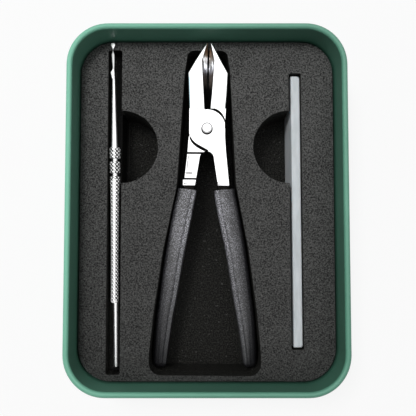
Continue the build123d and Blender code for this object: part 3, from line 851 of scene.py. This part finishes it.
def rivet():
    """Rivet with a low domed head at the top and a flat one below."""
    profile = [
        (0.0, 4.78), (0.8, 4.76), (1.5, 4.68), (1.9, 4.58), (RIVET_RADIUS, 4.42),
        (RIVET_RADIUS + 0.05, 3.95), (1.8, 3.6), (1.8, -4.0), (2.3, -4.5), (2.25, -4.65), (0.0, -4.65),
    ]
    bm = bmesh.new()
    points = [bm.verts.new(on_nipper(radius, 0.0, up)) for radius, up in profile]
    line = [bm.edges.new(pair) for pair in zip(points, points[1:])]
    bmesh.ops.spin(
        bm, geom=points + line, cent=NIPPER_ORIGIN, axis=NIPPER_UP, dvec=(0.0, 0.0, 0.0),
        angle=2.0 * math.pi, steps=72, use_merge=True,
    )
    bmesh.ops.remove_doubles(bm, verts=bm.verts, dist=MERGE_DISTANCE)
    bmesh.ops.recalc_face_normals(bm, faces=bm.faces)
    finish_piece(bm, "domed_rivet", "nipper_pivot", "nipper_steel", ["nipper_rivet"], SHARP_RIVET)


def arc_points(centre, radius, start, end, count):
    """Points of an arc, as (width, level) pairs."""
    points = []
    for step in range(count + 1):
        angle = math.radians(start + (end - start) * step / count)
        points.append((centre[0] + math.cos(angle) * radius, centre[1] + math.sin(angle) * radius))
    return points


def grip_section(width, shrink):
    """Corners of a grip's section from its inner edge: a rib, a groove and a crowned back."""
    high = GRIP_HALF_HEIGHT
    inner = GRIP_INNER_ROUND
    outer = GRIP_OUTER_ROUND
    back = high - GRIP_CROWN
    corners = arc_points((inner, high - inner), inner, 180.0, 90.0, 6)
    places = [GRIP_RIB + GRIP_GROOVE_WIDTH * step for step in (-2, -1, 0, 1, 2)]
    reach = width - outer - places[-1]
    places += [places[-1] + reach * step / 12 for step in range(1, 13)]
    for place in places:
        share = (place - inner) / (width - outer - inner)
        dip = GRIP_GROOVE_DEPTH * math.exp(-((place - GRIP_RIB) / GRIP_GROOVE_WIDTH) ** 2)
        corners.append((place, high - GRIP_CROWN * 0.55 * share ** 2 - dip))
    fall = corners[-1][1]
    corners += arc_points((width - outer, fall - outer), outer, 90.0, 0.0, 8)[1:]
    under = GRIP_UNDER_ROUND
    corners += arc_points((width - under, under - high), under, 0.0, -90.0, 5)
    corners += arc_points((inner, inner - high), inner, 270.0, 180.0, 4)
    middle = width / 2
    close_width = (width - 2.0 * shrink) / width
    close_height = (back - shrink) / back
    return [(middle + (x - middle) * close_width, z * close_height) for x, z in corners]


def rounding(radius, from_end):
    """How far a rounded end stands in at a distance from it."""
    if from_end >= radius:
        return 0.0
    return radius - math.sqrt(max(radius ** 2 - (radius - from_end) ** 2, 0.0))


def grip(side, name, body, node):
    """Moulded grip: a ribbed bar with a crowned back, a slanted top end and a rounded foot."""
    top_y = GRIP_STATIONS[0][0]
    end_y = GRIP_STATIONS[-1][0]
    inner_column = 3 if side > 0 else 1
    count = len(grip_section(8.0, 0.0))
    sections = {}

    def place(share, angle):
        # More rings near both ends, where the bar closes
        eased = share - math.sin(2.0 * math.pi * share) / (2.0 * math.pi) * GRIP_END_CROWDING
        along = top_y + (end_y - top_y) * eased
        inner = between(along, GRIP_STATIONS, inner_column)
        outer = between(along, GRIP_STATIONS, 2)
        from_top = top_y - along
        shrink = rounding(GRIP_TOP_ROUND, from_top) + rounding(GRIP_END_ROUND, along - end_y)
        key = round(share, 6)
        if key not in sections:
            sections[key] = grip_section(outer - inner, min(shrink, (outer - inner) / 2 - 0.2))
        width, level = sections[key][corner_of(angle, count)]
        slant = GRIP_TOP_SLANT * (outer - inner - width) * max(1.0 - from_top / GRIP_SLANT_REACH, 0.0)
        return on_nipper(side * (inner + width), along - slant, level)

    blank = turned_blank(count, GRIP_RINGS)
    # The "shine" attribute sets the coat's weight and carries painted sheen and shade in the colour: bright along
    # the rib, darker in the groove and towards the outer side and the foot
    layer = blank.verts.layers.float.new("shine")
    full_width = GRIP_STATIONS[2][2] - GRIP_STATIONS[2][inner_column]
    flat = grip_section(full_width, 0.0)
    fade = GRIP_FADE_RIGHT if side > 0 else GRIP_FADE_LEFT
    for vertex in blank.verts:
        width = flat[corner_of(math.atan2(vertex.co.y, vertex.co.x), count)][0]
        from_rib = max(width - GRIP_RIB, 0.0) / (full_width - GRIP_RIB)
        down = vertex.co.z
        # Painted shade in the rib's groove, broken into dashes
        broken = 0.5 + 0.5 * math.sin(down * GRIP_SHADE_BREAKS[0]) * math.sin(down * GRIP_SHADE_BREAKS[1])
        groove_shade = GRIP_GROOVE_SHADE * broken * math.exp(-((width - GRIP_RIB) / GRIP_GROOVE_WIDTH) ** 2)
        # Painted sheen: the right back's shine falls off evenly from its rib, and the left one's sooner towards
        # its foot
        falls = 0.9 if side > 0 else 3.5 - 2.7 * down
        across_shine = 1.0 if width < GRIP_RIB else GRIP_BACK_SHINE * (1.0 - from_rib ** falls)
        # Painted fade towards the foot
        end = min((1.0 - down) / fade, 1.0) ** 1.4
        vertex[layer] = across_shine * (1.0 - groove_shade) * end
    finish_piece(shape(blank, place), name, body, "grip", [node], SHARP_GRIP)


lever("nipper_upper_lever", "upper_lever", "nipper_upper", 1)
lever("nipper_lower_lever", "lower_lever", "nipper_lower", -1)
rivet()
grip(1, "right_grip", "nipper_upper", "nipper_right_grip")
grip(-1, "left_grip", "nipper_lower", "nipper_left_grip")


# =====================================================================================================
# Nail lifter
# =====================================================================================================
def end_of(node, at_top):
    """Middle of a turned node's upper or lower end."""
    points = [vertex.co for vertex in frame["nodes"][node].data.vertices]
    level = max(point.y for point in points) if at_top else min(point.y for point in points)
    near = [point for point in points if abs(point.y - level) < 0.3 * MM]
    return Vector([
        (max(point[axis] for point in near) + min(point[axis] for point in near)) / 2 for axis in range(3)
    ])


HANDLE_TOP = end_of("lifter_handle", True)
HANDLE_FOOT = end_of("lifter_handle", False)
HANDLE_LENGTH = (HANDLE_TOP - HANDLE_FOOT).length / MM
LIFTER_ALONG = (HANDLE_TOP - HANDLE_FOOT).normalized()
LIFTER_ACROSS = LIFTER_ALONG.cross(Vector((0.0, 0.0, 1.0))).normalized()
LIFTER_UP = LIFTER_ACROSS.cross(LIFTER_ALONG)

# Handle's radius at places down from its upper end, and the tip's sections up from there:
# place, half width, half height and sideways shift
HANDLE_STATIONS = [(0.0, 2.24), (11.6, 2.10), (22.7, 1.84), (48.0, 1.56), (66.8, 1.62)]
TIP_STATIONS = [
    (0.0, 1.46, 1.46, 0.0), (6.3, 1.27, 1.27, 0.0), (18.5, 0.94, 0.94, 0.0), (29.6, 0.66, 0.66, 0.0),
    (30.4, 0.78, 0.62, -0.20), (33.0, 0.90, 0.50, -0.46), (33.7, 0.50, 0.48, -0.15),
    (35.0, 0.46, 0.42, 0.0), (37.6, 0.56, 0.36, 0.0), (40.4, 0.62, 0.33, -0.04),
    (41.2, 0.34, 0.28, 0.0), (42.3, 0.22, 0.24, 0.0), (43.1, 0.48, 0.26, 0.04),
    (44.4, 0.95, 0.24, 0.04), (45.0, 0.74, 0.18, 0.04),
]
SHANK_SHIFT = 0.22
SHANK_LEAN = 0.013
# Where painted shade darkens the neck and the blade, and how dark the blade is
NECK_PLACE = 41.9
NECK_HALF = 1.0
BLADE_PLACES = (34.2, 41.0)
BLADE_SHADE = 0.35
HOOK_START = 33.0
HOOK_ANGLE = math.radians(5.0)
SHAFT_SIDES = 32
TIP_RINGS = 180

# Plain shaft below the handle: how far it starts inside, its shift, radius and taper, and its end's round
FOOT_OVERLAP = 1.0
FOOT_SHIFT = 0.48
FOOT_LEAN = 0.20
FOOT_RADIUS = 1.32
FOOT_TAPER = 0.14
FOOT_ROUND = 0.6
FOOT_RINGS = 60


def on_lifter(across, along, up):
    """Point from millimetres in the lifter's own frame, with the handle's upper end at the origin."""
    return HANDLE_TOP + (LIFTER_ACROSS * across + LIFTER_ALONG * along + LIFTER_UP * up) * MM


def wave(turns):
    """Straight-sided wave: 0 in a groove and 1 on a ridge."""
    return 1.0 - abs(2.0 * (turns - math.floor(turns)) - 1.0)


def knurl_ridge(turns, down):
    """Height of the knurl from 0 to 1: two crossing threads, one of them deeper."""
    deep = min(wave(turns + down / KNURL_PITCH) * KNURL_CREST, 1.0)
    light = min(wave(turns - down / KNURL_PITCH) * KNURL_CREST, 1.0)
    return min(deep, 0.3 + 0.7 * light)


def flank(angle, down):
    """0 in the plain band on the handle's top and bottom, and 1 down its sides, where the cut is full."""
    band = PLAIN_BAND if down > WAIST_PLACES[-1] + 2.0 else WAIST_BAND
    return min(max((abs(math.cos(angle)) - band) / BAND_FADE, 0.0), 1.0)


def knurled_handle():
    """Turned handle with a coarse diamond knurl, one way deeper, and two plain waists."""
    def place(share, angle):
        down = share * HANDLE_LENGTH
        body = between(down, HANDLE_STATIONS, 1)
        ends = [down, HANDLE_LENGTH - down]
        ends += [abs(down - waist) - WAIST_HALF for waist in WAIST_PLACES]
        clear = min(ends)
        if clear < 0.0:
            radius = WAIST_RADIUS
        else:
            strength = min(clear / KNURL_END, 1.0) * (LEAST_CUT + (1.0 - LEAST_CUT) * flank(angle, down))
            turns = KNURL_STARTS * angle / (2.0 * math.pi)
            ridge = knurl_ridge(turns, down)
            crest = body + KNURL_HEIGHT * (ridge - 0.70) * strength
            shoulder = min(min(ends[2:]) / WAIST_SHOULDER, 1.0)
            radius = WAIST_RADIUS + (crest - WAIST_RADIUS) * max(shoulder, 0.0)
        return on_lifter(math.cos(angle) * radius, -down, math.sin(angle) * radius)

    blank = turned_blank(KNURL_SEGMENTS, KNURL_RINGS)
    layer = blank.verts.layers.float.new("cut")
    for vertex in blank.verts:
        angle = math.atan2(vertex.co.y, vertex.co.x)
        turns = KNURL_STARTS * angle / (2.0 * math.pi)
        down = vertex.co.z * HANDLE_LENGTH
        plain = any(abs(down - waist) < WAIST_HALF + WAIST_SHOULDER / 2 for waist in WAIST_PLACES)
        # Painted shade in the knurl's grooves down the handle's sides
        depth = min(max((CUT_LEVEL - knurl_ridge(turns, down)) / 0.3, 0.0), 1.0)
        vertex[layer] = 0.0 if plain else flank(angle, down) * depth
    bm = shape(blank, place)
    finish_piece(bm, "knurled_handle", "lifter", "lifter_steel", ["lifter_handle"], SHARP_TURNED)


def lifter_blade():
    """Tapered shank that is cranked, flattened and ends in a small spoon."""
    reach = TIP_STATIONS[-1][0]

    def place(share, angle):
        along = share * reach
        half_width = between(along, TIP_STATIONS, 1)
        half_height = between(along, TIP_STATIONS, 2)
        shift = between(along, TIP_STATIONS, 3) - SHANK_SHIFT - SHANK_LEAN * along
        rise = max(along - HOOK_START, 0.0) * math.tan(HOOK_ANGLE)
        up = math.sin(angle) * half_height + rise
        return on_lifter(shift + math.cos(angle) * half_width, along, up)

    blank = turned_blank(SHAFT_SIDES, TIP_RINGS)
    layer = blank.verts.layers.float.new("cut")
    for vertex in blank.verts:
        along = vertex.co.z * reach
        # Painted shade at the neck and along the blade
        neck = 0.9 * max(1.0 - abs(along - NECK_PLACE) / NECK_HALF, 0.0) ** 0.5
        vertex[layer] = max(neck, BLADE_SHADE if BLADE_PLACES[0] < along < BLADE_PLACES[1] else 0.0)
    bm = shape(blank, place)
    finish_piece(bm, "lifter_blade", "lifter", "lifter_steel", ["lifter_tip"], SHARP_TURNED)


def foot_shaft():
    """Plain round shaft below the handle, with a rounded end."""
    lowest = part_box("lifter_foot_shaft")[0]
    reach = (HANDLE_FOOT.y - lowest.y) / MM / LIFTER_ALONG.y + FOOT_OVERLAP

    def place(share, angle):
        along = -HANDLE_LENGTH + FOOT_OVERLAP - share * reach
        shift = FOOT_SHIFT + FOOT_LEAN * share
        left = (1.0 - share) * reach
        radius = FOOT_RADIUS - FOOT_TAPER * share
        if left < FOOT_ROUND:
            radius *= math.sqrt(max(1.0 - (1.0 - left / FOOT_ROUND) ** 2, 0.02))
        return on_lifter(shift + math.cos(angle) * radius, along, math.sin(angle) * radius)

    bm = shape(turned_blank(SHAFT_SIDES, FOOT_RINGS), place)
    finish_piece(bm, "foot_shaft", "lifter", "lifter_steel", ["lifter_foot_shaft"], SHARP_TURNED)


knurled_handle()
lifter_blade()
foot_shaft()


# =====================================================================================================
# Stage, light and camera
# =====================================================================================================
def white_floor():
    """Pale floor that glows a little where it is seen, and keeps the case's shadow."""
    bm = bmesh.new()
    bmesh.ops.create_grid(bm, x_segments=1, y_segments=1, size=FLOOR_HALF)
    mesh = bpy.data.meshes.new("floor")
    bm.to_mesh(mesh)
    bm.free()
    floor = bpy.data.objects.new("floor", mesh)
    bpy.context.scene.collection.objects.link(floor)
    shader = Shader("white_floor")
    shader.principled(base_color=(0.9, 0.9, 0.9), roughness=0.9)
    glow = shader.node("ShaderNodeEmission", None, {"Color": (1.0, 1.0, 1.0), "Strength": 1.0}, 0)
    rays = shader.node("ShaderNodeLightPath")
    seen = Value(shader, rays.outputs["Is Camera Ray"])
    for kind in ("Is Glossy Ray", "Is Transmission Ray"):
        seen = seen.most(Value(shader, rays.outputs[kind]))
    inputs = {0: seen * FLOOR_GLOW, 1: shader.surface.outputs[0], 2: glow}
    mixed = shader.node("ShaderNodeMixShader", None, inputs, 0)
    shader.feed(shader.tree.nodes["Material Output"].inputs["Surface"], mixed)
    mesh.materials.append(shader.material)


def lamp(name, place, size, level, mirrored):
    """Lamp aimed at the case, that is either seen in shiny surfaces or lights them."""
    light = bpy.data.lights.new(name, "AREA")
    light.shape = "RECTANGLE"
    light.size, light.size_y = size
    light.energy = level * math.pi * light.size * light.size_y
    holder = bpy.data.objects.new(name, light)
    holder.location = place
    holder.rotation_euler = (-Vector(place)).to_track_quat("-Z", "Y").to_euler()
    holder.visible_glossy = mirrored
    holder.visible_diffuse = not mirrored
    bpy.context.scene.collection.objects.link(holder)


def room():
    """Dim room that is lighter overhead than at eye level, and white where it is seen or mirrored."""
    world = bpy.data.worlds.new("room")
    world.use_nodes = True
    tree = world.node_tree
    direction = tree.nodes.new("ShaderNodeTexCoord")
    parts = tree.nodes.new("ShaderNodeSeparateXYZ")
    ramp = tree.nodes.new("ShaderNodeMapRange")
    ramp.inputs["To Min"].default_value = HORIZON_LEVEL
    ramp.inputs["To Max"].default_value = ZENITH_LEVEL
    tree.links.new(direction.outputs["Generated"], parts.inputs[0])
    tree.links.new(parts.outputs["Z"], ramp.inputs["Value"])
    rays = tree.nodes.new("ShaderNodeLightPath")
    strength = ramp.outputs[0]
    for kind, level in (
        ("Is Glossy Ray", MIRRORED_SKY), ("Is Transmission Ray", MIRRORED_SKY), ("Is Camera Ray", SEEN_SKY),
    ):
        scaled = tree.nodes.new("ShaderNodeMath")
        scaled.operation = "MULTIPLY"
        scaled.inputs[1].default_value = level
        tree.links.new(rays.outputs[kind], scaled.inputs[0])
        most = tree.nodes.new("ShaderNodeMath")
        most.operation = "MAXIMUM"
        tree.links.new(scaled.outputs[0], most.inputs[0])
        tree.links.new(strength, most.inputs[1])
        strength = most.outputs[0]
    background = tree.nodes["Background"]
    background.inputs["Color"].default_value = (1.0, 1.0, 1.0, 1.0)
    tree.links.new(strength, background.inputs["Strength"])
    bpy.context.scene.world = world


def camera():
    """Camera nearly straight above the case."""
    data = bpy.data.cameras.new("camera")
    data.sensor_width = SENSOR_WIDTH
    data.lens = LENS
    data.shift_x = SHIFT_X
    data.shift_y = SHIFT_Y
    data.clip_start = CAMERA_CLIP
    holder = bpy.data.objects.new("camera", data)
    holder.location = CAMERA_PLACE
    holder.rotation_euler = (math.radians(CAMERA_TILT), 0.0, 0.0)
    bpy.context.scene.collection.objects.link(holder)
    bpy.context.scene.camera = holder


bpy.context.scene.view_settings.view_transform = "Standard"
white_floor()
lamp("softbox", SOFTBOX_PLACE, SOFTBOX_SIZE, SOFTBOX_LEVEL, True)
lamp("fill", SOFTBOX_PLACE, SOFTBOX_SIZE, FILL_LEVEL, False)
lamp("key", KEY_PLACE, KEY_SIZE, KEY_LEVEL, False)
room()
camera()
